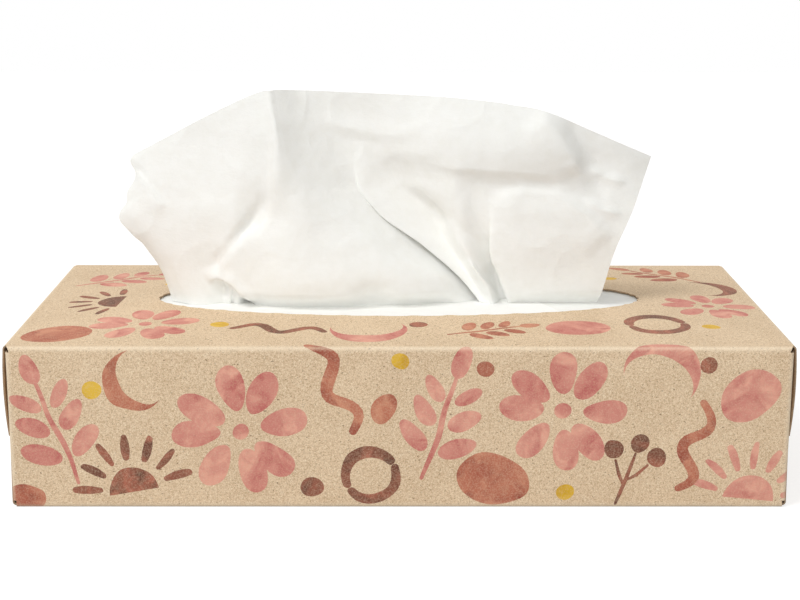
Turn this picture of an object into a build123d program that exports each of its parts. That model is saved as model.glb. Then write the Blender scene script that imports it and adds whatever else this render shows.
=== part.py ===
"""Flat tissue box of kraft card, with an oval slot in its top and one tissue standing up through it.

Frame: the origin is on the ground under the middle of the box, +X runs along the long side, +Y to the back
and +Z up. Every size is in millimetres.
"""

import os

from build123d import *

# The card and how it folds
card = 0.5
crease_inside_radius = 0.7
crease_radius = crease_inside_radius + card

# The body of the carton, measured outside
body_length = 240.0
body_depth = 118.0
body_height = 51.5
top_crown = 2.5

# The oval slot
slot_length = 162.0
slot_width = 55.0

# The glue flap along the back bottom edge
glue_flap_width = 15.0
seam_gap = 0.4

# The flaps that close each end
dust_flap_length = 42.0
dust_flap_trim = 0.5
dust_flap_taper = 3.0
bottom_flap_height = 30.0
top_flap_height = 29.5
end_flap_side_trim = 0.8
end_flap_taper = 2.0
top_flap_bow = 0.7

# The pack of tissues
pack_end_room = 17.0
pack_side_room = 6.5
pack_clearance = 0.9
sheet_thickness = 0.4
seat_gap = 0.1
foot_gap = 0.25

# The next sheet, which lies on the pack and shows in the front of the slot
next_sheet_back = 8.0
next_sheet_front = -37.0
next_sheet_left = (-66.0, -77.0)
next_sheet_right = (40.0, 61.0)

# The pulled sheet: the heights of its drawn sections, measured from the flat top of the carton
section_heights = (-3.5, 9.5, 20.5, 31.5, 41.5, 53.5, 72.5)
facet_rows = 13

# The lines of its folds from the left edge to the right one, as x and y at each of those heights
fold_lines = {
    "left edge": [(-75, 1), (-80, 2), (-86, 3), (-92, 4), (-88, 4), (-88.5, 5), (-90, 6)],
    "left bulge": [(-71, -3), (-76, -3), (-81, -3), (-85, -2), (-82, -1), (-81, 1), (-80, 3)],
    "left panel": [(-66, -6), (-70, -7), (-74, -8), (-75, -7), (-73, -5), (-72, -2), (-71, 0.5)],
    "left hollow": [(-60, -1), (-59.5, -3), (-62, -9), (-62, -10), (-61, -8), (-60, -5.5), (-61, -2.5)],
    "left pleat": [(-56.5, -8), (-56.5, -9.5), (-57, -11), (-54, -11.5), (-53, -10), (-50, -8.5), (-51, -5)],
    "crease": [(-50, -1.5), (-51.5, -5), (-53, -8.5), (-45.5, -9.5), (-44, -10.5), (-43, -10), (-45, -6.5)],
    "ridge": [(-46, -9.5), (-46, -13), (-47, -13.5), (-39.5, -12.5), (-37, -11.5), (-37.5, -10.5), (-41, -7)],
    "puff left": [(-36, -10.5), (-36, -16), (-36, -17), (-31, -14), (-31, -9.5), (-33.5, -7.5), (-37, -5)],
    "puff middle": [(-22, -9.5), (-22, -15.5), (-22, -16), (-21, -11.5), (-25, -6), (-31, -4), (-33, -2)],
    "base hollow": [(-5, -1.5), (-7, -8), (-9, -11.5), (-13, -8), (-21, -3.5), (-28.5, -2.5), (-29, -0.5)],
    "under layer": [(14, -3), (8, -6), (1, -6.5), (-7.5, -4.5), (-19, -2.6), (-25.5, -2.3), (-26, -0.4)],
    "turn in": [(31.5, 0.3), (22, 1.3), (12, -0.2), (-1.5, -1.8), (-17.2, -2.6), (-23, -2.5), (-23.5, -0.5)],
    "turn": [(33.6, -1.3), (24.8, 0), (15, -1.3), (1.3, -2.3), (-15.6, -3.2), (-20.5, -3), (-21, -0.8)],
    "turn out": [(32.5, -3.2), (23.8, -2.3), (13.7, -3.6), (0.5, -4), (-14.6, -4.2), (-18, -3.8), (-18.5, -1.2)],
    "fold edge": [(28.6, -6), (19.2, -6.3), (8.6, -7), (-3.8, -6.8), (-13, -5.6), (-15, -4.8), (-15, -1.8)],
    "fold lip": [(30.3, -8.3), (21.5, -9.2), (11, -10.2), (-1, -9.7), (-8, -8), (-8, -7), (-6, -3)],
    "facet": [(33, -7.3), (27.5, -9.2), (20.5, -10.8), (13, -11.5), (9, -9), (9, -9.5), (9, -4)],
    "pleat in": [(36, -2.5), (31.5, -4.5), (27, -7), (20, -9.5), (18, -8), (18, -10.5), (17, -4.1)],
    "pleat back": [(38.3, -0.5), (34, -2.5), (30, -5.5), (25, -8.5), (24, -7.3), (24, -11.2), (23, -4.1)],
    "pleat out": [(40, -2.5), (35.7, -4.3), (31.5, -7), (29, -9.3), (29, -7), (30, -12), (29, -3.9)],
    "pleat edge": [(38.5, -8), (33.8, -9.2), (30.5, -10.3), (33, -10.5), (35, -7.5), (36, -12.5), (35, -3.5)],
    "right panel": [(46, -8), (45, -10), (45, -11), (47, -9.5), (49, -5.5), (48, -11), (48, -1)],
    "right shade": [(58, -5), (59, -6.5), (61, -6.5), (62, -4), (63, -1), (61, -5), (64, 3)],
    "right edge": [(67, 1), (70.5, 2), (74, 4), (78.5, 7), (82, 9), (86, 11), (92, 14)],
}

# The free upper edge of the pulled sheet, as x and the height over the flat top of the carton
upper_edge = [
    (-93.0, 46.2),
    (-70.0, 57.6),
    (-50.0, 67.5),
    (-43.2, 70.9),
    (-32.4, 70.9),
    (13.6, 69.7),
    (46.7, 63.5),
    (67.0, 55.2),
    (84.2, 48.2),
    (96.0, 43.4),
]

# What follows from the sizes above
half_length = body_length / 2
half_depth = body_depth / 2
bend_start_y = half_depth - crease_radius
bend_start_z = body_height - crease_radius
front_panel_half = half_length - crease_radius
bottom_flap_outside = half_length + card
top_flap_outside = bottom_flap_outside + card
sheet_width = body_length - 2 * (card + pack_end_room)
folded_sheet_depth = body_depth - 2 * (card + pack_side_room)
pack_height = body_height - card - pack_clearance
next_sheet_low = pack_height + seat_gap
next_sheet_high = next_sheet_low + sheet_thickness


def crowned_face(half_x, half_y, edge_z, rise):
    """A face over a rectangle whose four sides are straight at edge_z, and whose middle stands rise higher."""
    across = [0, 2, 0]
    plateau = 8 / 7
    along = [0, plateau, plateau, plateau, 0]
    points = [
        [
            (half_x * (i / 2 - 1), half_y * (j - 1), edge_z + rise * a * b)
            for j, b in enumerate(across)
        ]
        for i, a in enumerate(along)
    ]
    return Face.make_bezier_surface(points)


def plate(x, y, z):
    """A flat piece of card between two values of each of x, y and z."""
    return Pos((x[0] + x[1]) / 2, (y[0] + y[1]) / 2, (z[0] + z[1]) / 2) * Box(
        x[1] - x[0], y[1] - y[0], z[1] - z[0]
    )


def bend(plane, length):
    """A quarter turn of card: it curves from the plane's x direction to its y direction, and runs along its normal."""
    ring = Circle(crease_radius) - Circle(crease_inside_radius)
    quarter = ring & Pos(crease_radius / 2, crease_radius / 2) * Rectangle(
        crease_radius, crease_radius
    )
    return extrude(plane * quarter, length / 2, both=True)


def long_bend(side_y, side_z, centre_z, half_x):
    """The bend along a long edge, whose middle line lies at centre_z inside the front or the back."""
    plane = Plane(
        origin=(0, side_y * bend_start_y, centre_z),
        x_dir=(0, side_y, 0),
        z_dir=(side_y * side_z, 0, 0),
    )
    return bend(plane, 2 * half_x)


def carton_tube():
    """The four panels round the pack and the glue flap inside the bottom one."""
    top_half = top_flap_outside - crease_radius
    bottom_half = bottom_flap_outside - crease_radius
    crown = crowned_face(top_half, bend_start_y, body_height, top_crown)
    top = Solid.extrude(crown, Vector(0, 0, -card))
    front = plate(
        (-front_panel_half, front_panel_half),
        (-half_depth, -half_depth + card),
        (crease_radius, bend_start_z),
    )
    back = plate(
        (-front_panel_half, front_panel_half),
        (half_depth - card, half_depth),
        (crease_radius + card, bend_start_z),
    )
    bottom = plate(
        (-bottom_half, bottom_half),
        (-bend_start_y, half_depth - seam_gap),
        (0, card),
    )
    glue_flap = plate(
        (-front_panel_half, front_panel_half),
        (bend_start_y - glue_flap_width, bend_start_y),
        (card, 2 * card),
    )
    bends = [
        long_bend(-1, 1, bend_start_z, front_panel_half),
        long_bend(1, 1, bend_start_z, front_panel_half),
        long_bend(-1, -1, crease_radius, front_panel_half),
        long_bend(1, -1, crease_radius + card, front_panel_half),
    ]
    return top, [front, back, bottom, glue_flap, *bends]


def dust_flap(side_x, side_y):
    """The small flap that folds in from the front or the back panel, with the bend that joins it."""
    low = crease_radius + card + dust_flap_trim
    high = bend_start_z - dust_flap_trim
    start = bend_start_y
    end = start - dust_flap_length
    outline = make_face(
        Polyline(
            (side_y * start, low),
            (side_y * start, high),
            (side_y * end, high - dust_flap_taper),
            (side_y * end, low + dust_flap_taper),
            close=True,
        )
    )
    flap = extrude(
        Plane(origin=(side_x * half_length, 0, 0), x_dir=(0, 1, 0), z_dir=(1, 0, 0))
        * outline,
        -side_x * card,
    )
    turn = Plane(
        origin=(side_x * front_panel_half, side_y * start, (low + high) / 2),
        x_dir=(side_x, 0, 0),
        z_dir=(0, 0, side_x * side_y),
    )
    return [flap, bend(turn, high - low)]


def bottom_end_flap(side_x):
    """The flap that folds up over the dust flaps, with the bend that joins it to the bottom panel."""
    half_y = bend_start_y - end_flap_side_trim
    outline = make_face(
        Polyline(
            (-half_y, crease_radius),
            (half_y, crease_radius),
            (half_y - end_flap_taper, bottom_flap_height),
            (-half_y + end_flap_taper, bottom_flap_height),
            close=True,
        )
    )
    face_plane = Plane(
        origin=(side_x * bottom_flap_outside, 0, 0), x_dir=(0, 1, 0), z_dir=(1, 0, 0)
    )
    flap = extrude(face_plane * outline, -side_x * card)
    turn = Plane(
        origin=(side_x * (bottom_flap_outside - crease_radius), 0, crease_radius),
        x_dir=(side_x, 0, 0),
        z_dir=(0, side_x, 0),
    )
    return [flap, bend(turn, 2 * half_y)]


def top_end_flap(side_x):
    """The outermost flap, which hangs from the top panel and bows out a little before it meets the bottom flap."""
    half_y = bend_start_y - end_flap_side_trim
    low = body_height - top_flap_height
    middle = (low + bend_start_z) / 2
    outside = top_flap_outside
    section = make_face(
        ThreePointArc(
            (outside, bend_start_z), (outside + top_flap_bow, middle), (outside, low)
        )
        + Line((outside, low), (outside - card, low))
        + ThreePointArc(
            (outside - card, low),
            (outside - card + top_flap_bow, middle),
            (outside - card, bend_start_z),
        )
        + Line((outside - card, bend_start_z), (outside, bend_start_z))
    )
    sheet = extrude(Plane.XZ * section, half_y, both=True)
    trim = make_face(
        Polyline(
            (-half_y, bend_start_z),
            (half_y, bend_start_z),
            (half_y - end_flap_taper, low),
            (-half_y + end_flap_taper, low),
            close=True,
        )
    )
    flap = sheet & extrude(
        Plane(origin=(0, 0, 0), x_dir=(0, 1, 0), z_dir=(1, 0, 0)) * trim, 2 * outside
    )
    if side_x < 0:
        flap = mirror(flap, Plane.YZ)
    turn = Plane(
        origin=(side_x * (outside - crease_radius), 0, bend_start_z),
        x_dir=(side_x, 0, 0),
        z_dir=(0, -side_x, 0),
    )
    return [flap, bend(turn, 2 * half_y)]


def carton():
    """The folded and glued card blank, with the oval slot torn out of its top."""
    top, pieces = carton_tube()
    slot = extrude(
        Plane.XY.offset(body_height - 2 * card)
        * Ellipse(slot_length / 2, slot_width / 2),
        2 * top_crown + 4 * card,
    )
    top = top - slot
    for side_x in (-1, 1):
        pieces += bottom_end_flap(side_x) + top_end_flap(side_x)
        for side_y in (-1, 1):
            pieces += dust_flap(side_x, side_y)
    whole = top
    for piece in pieces:
        whole = whole + piece
    return whole


def under_crown(height):
    """Everything under a surface that follows the crown of the top panel, with its edges at the given height."""
    face = crowned_face(
        top_flap_outside - crease_radius, bend_start_y, height, top_crown
    )
    return Solid.extrude(face, Vector(0, 0, -body_height))


def tissue_stack():
    """The interfolded pack: folded edges at the front and the back, cut edges at the two ends."""
    block = plate(
        (-sheet_width / 2, sheet_width / 2),
        (-folded_sheet_depth / 2, folded_sheet_depth / 2),
        (card, body_height + top_crown),
    )
    pack = block & under_crown(pack_height)
    over_flap = plate(
        (-half_length, half_length),
        (bend_start_y - glue_flap_width, half_depth),
        (0, 2 * card),
    )
    return pack - over_flap


def lying_sheet(low, high):
    """The space over the next sheet's outline between two heights of the crowned surface."""
    outline = make_face(
        Polyline(
            (next_sheet_left[0], next_sheet_back),
            (next_sheet_right[0], next_sheet_back),
            (next_sheet_right[1], next_sheet_front),
            (next_sheet_left[1], next_sheet_front),
            close=True,
        )
    )
    layer = under_crown(high) - under_crown(low)
    return layer & extrude(Plane.XY * outline, body_height + 2 * top_crown)


def next_tissue():
    """The next sheet to come out, lying on the pack across the front of the slot."""
    return lying_sheet(next_sheet_low, next_sheet_high)


def value_at(heights, values, height):
    """A smooth curve through the values at their heights, with no rise or fall between them that they lack."""
    slopes = [
        (values[i + 1] - values[i]) / (heights[i + 1] - heights[i])
        for i in range(len(heights) - 1)
    ]
    tangents = [slopes[0]]
    for before, after in zip(slopes, slopes[1:]):
        turns = before * after <= 0
        tangents.append(0 if turns else 2 * before * after / (before + after))
    tangents.append(slopes[-1])
    i = 0
    while i < len(slopes) - 1 and height > heights[i + 1]:
        i += 1
    span = heights[i + 1] - heights[i]
    t = (height - heights[i]) / span
    start = (1 + 2 * t) * (1 - t) ** 2 * values[i] + t * (1 - t) ** 2 * span * tangents[i]
    end = t * t * (3 - 2 * t) * values[i + 1] + t * t * (t - 1) * span * tangents[i + 1]
    return start + end


def crown_at(x, y):
    """How far the crown lifts the top panel, and the pack under it, at a point."""
    along = (x / (top_flap_outside - crease_radius) + 1) / 2
    across = (y / bend_start_y + 1) / 2
    rise = 8 / 7 * (1 - along**4 - (1 - along) ** 4)
    return top_crown * rise * 4 * across * (1 - across)


def point_on(line, height):
    """The point of a fold line at a height over the flat top of the carton."""
    x = value_at(section_heights, [x for x, y in line], height)
    y = value_at(section_heights, [y for x, y in line], height)
    return Vector(x, y, body_height + height)


def foot_of(line):
    """The height at which a fold line meets the sheet and the pack below it."""
    height = section_heights[0]
    for _ in range(4):
        point = point_on(line, height)
        height = next_sheet_high + foot_gap + crown_at(point.X, point.Y) - body_height
    return height


def free_edge_of(line):
    """The height at which a fold line reaches the free upper edge of the sheet."""
    edge_x = [x for x, z in upper_edge]
    edge_z = [z for x, z in upper_edge]
    low, high = 0, section_heights[-1]
    for _ in range(30):
        middle = (low + high) / 2
        if value_at(edge_x, edge_z, point_on(line, middle).X) > middle:
            low = middle
        else:
            high = middle
    return low


def with_middles(row):
    """The row with a point added between each two, on a smooth curve through their neighbours."""
    full = [row[0]]
    for i in range(len(row) - 1):
        if 0 < i < len(row) - 2:
            middle = (row[i] + row[i + 1]) * (9 / 16) - (row[i - 1] + row[i + 2]) * (1 / 16)
        else:
            middle = (row[i] + row[i + 1]) * 0.5
        full += [middle, row[i + 1]]
    return full


def sheet_sides(rows):
    """The two faces of the sheet: its middle surface moved half the thickness each way, square to itself."""
    near, far = [], []
    for i, row in enumerate(rows):
        above = rows[min(i + 1, len(rows) - 1)]
        below = rows[max(i - 1, 0)]
        near_row, far_row = [], []
        for j, point in enumerate(row):
            run = row[min(j + 1, len(row) - 1)] - row[max(j - 1, 0)]
            out = (above[j] - below[j]).cross(run).normalized() * (sheet_thickness / 2)
            near_row.append(point - out)
            far_row.append(point + out)
        near.append(near_row)
        far.append(far_row)
    return near, far


def facets(rows, turned):
    """The triangles between the points of a grid, each pair split along its shorter diagonal."""
    found = []
    for low_row, high_row in zip(rows, rows[1:]):
        for j in range(len(low_row) - 1):
            a, b = low_row[j], low_row[j + 1]
            c, d = high_row[j + 1], high_row[j]
            if (a - c).length < (b - d).length:
                pair = [(a, b, c), (a, c, d)]
            else:
                pair = [(a, b, d), (b, c, d)]
            found += [corners[::-1] if turned else corners for corners in pair]
    return [Face(Wire.make_polygon(corners)) for corners in found]


def pulled_tissue():
    """The sheet that stands up through the slot, in flat facets between its fold lines."""
    columns = []
    for line in fold_lines.values():
        low, high = foot_of(line), free_edge_of(line)
        step = (high - low) / (facet_rows - 1)
        columns.append([point_on(line, low + step * i) for i in range(facet_rows)])
    rows = [with_middles([column[i] for column in columns]) for i in range(facet_rows)]
    near, far = sheet_sides(rows)
    left = [[row[0] for row in near], [row[0] for row in far]]
    right = [[row[-1] for row in near], [row[-1] for row in far]]
    faces = facets(near, False) + facets(far, True)
    faces += facets([near[0], far[0]], True) + facets([near[-1], far[-1]], False)
    faces += facets(left, False) + facets(right, True)
    return Solid(Shell(faces))


def main():
    """Builds each piece and writes it to its own file."""
    os.makedirs("parts", exist_ok=True)
    pieces = {
        "carton": carton(),
        "tissue_stack": tissue_stack(),
        "next_tissue": next_tissue(),
        "pulled_tissue": pulled_tissue(),
    }
    for name, piece in pieces.items():
        export_step(piece, f"parts/{name}.step")


main()
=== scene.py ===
"""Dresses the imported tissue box: the printed carton, the pack inside it and the sheets that come out.

Sizes inside the classes are in millimetres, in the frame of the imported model. Finished meshes are in metres.
"""

from __future__ import annotations

import logging
import math
import random
from collections.abc import Sequence
from dataclasses import dataclass, field
from enum import Enum
from itertools import product

import bpy
from mathutils import Matrix, Vector, noise
from mathutils.geometry import delaunay_2d_cdt

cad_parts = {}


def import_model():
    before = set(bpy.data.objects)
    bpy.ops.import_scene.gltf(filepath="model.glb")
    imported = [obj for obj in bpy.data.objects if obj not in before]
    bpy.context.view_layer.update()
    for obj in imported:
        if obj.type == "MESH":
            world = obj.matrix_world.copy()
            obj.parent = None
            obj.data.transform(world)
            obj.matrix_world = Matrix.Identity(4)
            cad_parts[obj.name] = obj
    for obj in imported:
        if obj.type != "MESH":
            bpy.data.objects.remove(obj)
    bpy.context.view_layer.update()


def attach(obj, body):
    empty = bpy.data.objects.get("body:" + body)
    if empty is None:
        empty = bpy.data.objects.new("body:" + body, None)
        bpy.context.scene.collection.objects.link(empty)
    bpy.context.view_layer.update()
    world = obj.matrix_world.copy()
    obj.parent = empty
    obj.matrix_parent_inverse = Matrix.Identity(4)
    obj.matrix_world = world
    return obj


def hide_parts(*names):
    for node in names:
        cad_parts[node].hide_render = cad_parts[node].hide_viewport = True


MM = 0.001
SEED = 7
NIB_SEED = 11
# up to how many degrees an edge is shaded smoothly
CARD_ANGLE = 40.0
PACK_ANGLE = 50.0
TISSUE_ANGLE = 80.0
log = logging.getLogger("tissue_box")

Point = tuple[float, float]
Loop = list[Point]
Colour = tuple[float, float, float]
Piece = bpy.types.Object
Socket = bpy.types.NodeSocket


class Ink(Enum):
    """The colours that the card is printed with."""

    PINK = "pink"
    TERRACOTTA = "terracotta"
    BROWN = "brown"
    YELLOW = "yellow"


class Motif(Enum):
    """The printed shapes."""

    DAISY = "daisy"
    SPRIG = "sprig"
    HALF_SUN = "half_sun"
    SQUIGGLE = "squiggle"
    PEBBLE = "pebble"
    CRESCENT = "crescent"
    RING = "ring"
    DOT = "dot"
    BERRIES = "berries"


class Face(Enum):
    """The printed faces of the carton, by the place of their middle."""

    FRONT = "front"
    TOP = "top"
    BACK = "back"
    LEFT_END = "left_end"
    RIGHT_END = "right_end"


# Small helpers


def linear(*colour: int) -> Colour:
    """Turns red, green and blue as a screen shows them, from 0 to 255, into a shader's linear values."""
    parts = [value / 255 for value in colour]
    return tuple(part / 12.92 if part <= 0.04045 else ((part + 0.055) / 1.055) ** 2.4 for part in parts)


def spread(start: float, end: float, count: int) -> set[float]:
    """Divides a stretch evenly, with its places rounded so that equal ones meet."""
    return {round(start + (end - start) * k / count, 3) for k in range(count + 1)}


def mesh_object(name: str, points: list[Vector], faces: list[tuple[int, ...]]) -> Piece:
    """Makes an object of points in millimetres.

    Args:
        name: The piece's name.
        points: The points, in millimetres.
        faces: The corners of each face.

    Returns:
        The new object, at the origin, with its mesh in metres.
    """
    mesh = bpy.data.meshes.new(name)
    mesh.from_pydata([tuple(point * MM) for point in points], [], faces)
    mesh.validate()
    mesh.update()
    piece = bpy.data.objects.new(name, mesh)
    bpy.context.scene.collection.objects.link(piece)
    return piece


def sheet_object(name: str, points: list[Vector], wide: int) -> Piece:
    """Makes an open sheet, with no thickness yet, of rows of points that are wide points long."""
    corners = [a for a in range(len(points) - wide) if (a + 1) % wide]
    return mesh_object(name, points, [(a, a + 1, a + wide + 1, a + wide) for a in corners])


def make_active(piece: Piece) -> None:
    """Selects one piece and nothing else.

    Args:
        piece: The piece.
    """
    bpy.ops.object.select_all(action="DESELECT")
    piece.select_set(True)
    bpy.context.view_layer.objects.active = piece


def thicken(piece: Piece, thickness: float) -> None:
    """Gives an open sheet its thickness, half of it to each side.

    Args:
        piece: The sheet.
        thickness: How thick it is, in millimetres.
    """
    ply = piece.modifiers.new("ply", "SOLIDIFY")
    ply.thickness = thickness * MM
    ply.offset = 0.0
    make_active(piece)
    bpy.ops.object.modifier_apply(modifier=ply.name)


def put_in_place(piece: Piece, finishes: list[bpy.types.Material], angle: float, node: str) -> None:
    """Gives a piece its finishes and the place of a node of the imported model.

    Args:
        piece: The piece.
        finishes: Its materials, in the order of their numbers in the mesh.
        angle: Up to how many degrees an edge is shaded smoothly.
        node: The node that it replaces.
    """
    for finish in finishes:
        piece.data.materials.append(finish)
    make_active(piece)
    bpy.ops.object.shade_smooth_by_angle(angle=math.radians(angle))
    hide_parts(node)
    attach(piece, "root")


# Materials


class Nodes:
    """Writes one material's node tree in a few short calls."""

    def __init__(self, tree: bpy.types.NodeTree) -> None:
        """Starts on the tree of a material, a world or a node group."""
        self.tree = tree

    def feed(self, target: Socket, value: object) -> None:
        """Links an input to the output given, or sets it to the value given.

        Args:
            target: The input.
            value: An output of another node, a number, a vector or a colour.
        """
        if isinstance(value, Socket):
            self.tree.links.new(value, target)
        else:
            target.default_value = (*value, 1.0) if target.type == "RGBA" else value

    def add(self, kind: str, **settings: object) -> bpy.types.Node:
        """Adds a node.

        Args:
            kind: The node's type name.
            **settings: Properties of the node, or for a name that isn't one, what its input is fed.

        Returns:
            The new node.
        """
        node = self.tree.nodes.new(kind)
        for name, value in settings.items():
            if hasattr(node, name):
                setattr(node, name, value)
            else:
                self.feed(node.inputs[name.replace("_", " ")], value)
        return node

    def scaled(self, source: Socket, scale: tuple[float, float, float]) -> Socket:
        """Stretches coordinates along each axis."""
        return self.add("ShaderNodeMapping", Vector=source, Scale=scale).outputs["Vector"]

    def noise(self, source: Socket, scale: float, detail: float = 3.0, rough: float = 0.5,
              warp: float = 0.0) -> Socket:
        """Adds a noise from 0 to 1: so many waves a metre, finer layers, their strength and a warp."""
        shape = {"Scale": scale, "Detail": detail, "Roughness": rough, "Distortion": warp}
        return self.add("ShaderNodeTexNoise", Vector=source, **shape).outputs["Fac"]

    def ramp(self, source: Socket, low: float, high: float, start: float = 0.0,
             end: float = 1.0) -> Socket:
        """Maps the values from low to high smoothly onto those from start to end, and holds them there."""
        reach = {"Value": source, "From Min": low, "From Max": high, "To Min": start, "To Max": end}
        return self.add("ShaderNodeMapRange", interpolation_type="SMOOTHSTEP", **reach).outputs["Result"]

    def mix(self, amount: Socket | float, first: Socket | Colour,
            second: Socket | Colour) -> Socket:
        """Mixes two colours.

        Args:
            amount: How much of the second one.
            first: The first colour.
            second: The second colour.

        Returns:
            The mixed colour.
        """
        node = self.add("ShaderNodeMix", data_type="RGBA")
        for index, value in ((0, amount), (6, first), (7, second)):
            self.feed(node.inputs[index], value)
        return node.outputs[2]

    def maths(self, operation: str, *values: Socket | float) -> Socket:
        """Adds one sum.

        Args:
            operation: The sum's name, such as ADD.
            *values: The two values.

        Returns:
            The result.
        """
        node = self.add("ShaderNodeMath", operation=operation)
        for target, value in zip(node.inputs, values):
            self.feed(target, value)
        return node.outputs[0]


@dataclass(frozen=True)
class KraftCard:
    """Uncoated brown kraft card: warm tan pulp with fine grain, pale and dark fibres, and small specks."""

    base: Colour = linear(228, 202, 169)
    pale: Colour = linear(250, 236, 211)
    dark: Colour = linear(178, 148, 113)
    speck: Colour = linear(112, 80, 54)
    # pale tint along the bends: scuffed fibres and a painted highlight where the bend catches light
    worn_and_highlight: Colour = linear(244, 230, 206)
    most_wear_and_highlight: float = 0.55
    fibre_depth: float = 0.00004

    def group(self) -> bpy.types.NodeTree:
        """Builds the card's pattern once, as a group that puts out its colour and its relief.

        Returns:
            The node group.
        """
        found = bpy.data.node_groups.get("kraft_pulp")
        if found:
            return found
        tree = bpy.data.node_groups.new("kraft_pulp", "ShaderNodeTree")
        sockets = (("Where", "INPUT", "Vector"), ("Wear_and_highlight", "INPUT", "Float"))
        sockets += (("Colour", "OUTPUT", "Color"), ("Relief", "OUTPUT", "Float"))
        for name, side, kind in sockets:
            tree.interface.new_socket(name=name, in_out=side, socket_type=f"NodeSocket{kind}")
        nodes = Nodes(tree)
        inside = nodes.add("NodeGroupInput")
        outside = nodes.add("NodeGroupOutput")
        where = inside.outputs["Where"]
        clouds = nodes.ramp(nodes.noise(where, 60.0), 0.3, 0.72)
        grain = nodes.noise(where, 2700.0, 4.0, 0.75)
        coarse = nodes.noise(where, 1100.0, 3.0, 0.6)
        long_fibres = nodes.noise(nodes.scaled(where, (0.35, 1.0, 1.0)), 3200.0, 2.0, 0.5, 1.2)
        cross_fibres = nodes.noise(nodes.scaled(where, (1.0, 0.4, 0.4)), 2900.0, 2.0, 0.5, 1.0)
        specks = nodes.noise(nodes.scaled(where, (0.7, 1.0, 1.0)), 1900.0, 1.0, 0.4, 0.5)
        colour = self.base
        # each pattern, the stretch of its values that tints the card, how much at most, and the tint
        layers = (
            (clouds, 0.0, 1.0, 0.16, self.dark),
            (coarse, 0.48, 0.72, 0.4, self.dark),
            (grain, 0.51, 0.66, 0.85, self.dark),
            (grain, 0.49, 0.34, 0.8, self.pale),
            (long_fibres, 0.62, 0.74, 0.5, self.pale),
            (cross_fibres, 0.62, 0.74, 0.6, self.dark),
            (specks, 0.68, 0.75, 0.75, self.speck),
        )
        for pattern, low, high, most, tint in layers:
            colour = nodes.mix(nodes.ramp(pattern, low, high, 0.0, most), colour, tint)
        # lightens the card along the bends with scuffed fibres and a painted highlight
        worn_and_highlight = nodes.maths("MULTIPLY", inside.outputs["Wear_and_highlight"], nodes.ramp(grain, 0.30, 0.62, 0.55, 1.0))
        nodes.feed(outside.inputs["Colour"], nodes.mix(worn_and_highlight, colour, self.worn_and_highlight))
        fibres = nodes.maths("MULTIPLY", long_fibres, 0.4)
        relief = nodes.maths("ADD", nodes.maths("MULTIPLY", grain, 0.6), fibres)
        nodes.feed(outside.inputs["Relief"], relief)
        return tree

    def place(self, nodes: Nodes) -> tuple[Socket, Socket, Socket]:
        """Puts the card's pattern into a material.

        Args:
            nodes: The writer of the material's nodes.

        Returns:
            The colour, the relief, and the rubbing along the creases with its painted highlight.
        """
        place = nodes.add("ShaderNodeTexCoord").outputs["Object"]
        wear_and_highlight = nodes.add("ShaderNodeAttribute", attribute_name="crease").outputs["Fac"]
        pulp = nodes.add("ShaderNodeGroup", node_tree=self.group(), Where=place)
        nodes.feed(pulp.inputs["Wear_and_highlight"], nodes.maths("MULTIPLY", wear_and_highlight, self.most_wear_and_highlight))
        return pulp.outputs["Colour"], pulp.outputs["Relief"], wear_and_highlight

    def material(self, name: str = "kraft_card", painted_shade: float = 0.0) -> bpy.types.Material:
        """Builds the bare card.

        Args:
            name: The material's name.
            painted_shade: How far the colour goes towards the one of the specks, from 0 to 1.

        Returns:
            The material.
        """
        material, nodes, shader = principled(name, 0.86)
        colour, relief, _ = self.place(nodes)
        # the cut edges are darkened towards the speck colour as painted shade
        if painted_shade:
            colour = nodes.mix(painted_shade, colour, self.speck)
        nodes.feed(shader.inputs["Base Color"], colour)
        add_bump(nodes, shader, relief, self.fibre_depth, 0.35)
        return material


@dataclass(frozen=True)
class PrintedCard:
    """Ink on the kraft card: uneven like thin paint, with the fibres of the card showing through."""

    name: str
    light: Colour
    middle: Colour
    deep: Colour
    card: KraftCard = KraftCard()
    cover: float = 0.97
    thinnest: float = 0.72

    def material(self) -> bpy.types.Material:
        """Builds the printed card.

        Returns:
            The material.
        """
        material, nodes, shader = principled(f"print_{self.name}", 0.82)
        colour, relief, wear_and_highlight = self.card.place(nodes)
        place = nodes.add("ShaderNodeTexCoord").outputs["Object"]
        pools = nodes.noise(place, 62.0, 3.0, 0.6, 1.2)
        washes = nodes.noise(place, 170.0, 4.0, 0.6, 0.8)
        paint = nodes.mix(nodes.ramp(pools, 0.40, 0.62), self.light, self.deep)
        paint = nodes.mix(nodes.ramp(washes, 0.36, 0.60, 0.0, 0.7), paint, self.middle)
        grain = nodes.noise(place, 2300.0, 3.0, 0.6)
        thin = nodes.ramp(grain, 0.40, 0.66, self.cover, self.thinnest)
        # the ink thins along the bends: cracked ink and a painted highlight
        thin = nodes.maths("MULTIPLY", thin, nodes.ramp(wear_and_highlight, 0.2, 1.0, 1.0, 0.62))
        colour = nodes.mix(thin, colour, paint)
        nodes.feed(shader.inputs["Base Color"], colour)
        add_bump(nodes, shader, relief, self.card.fibre_depth, 0.3)
        return material


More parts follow.
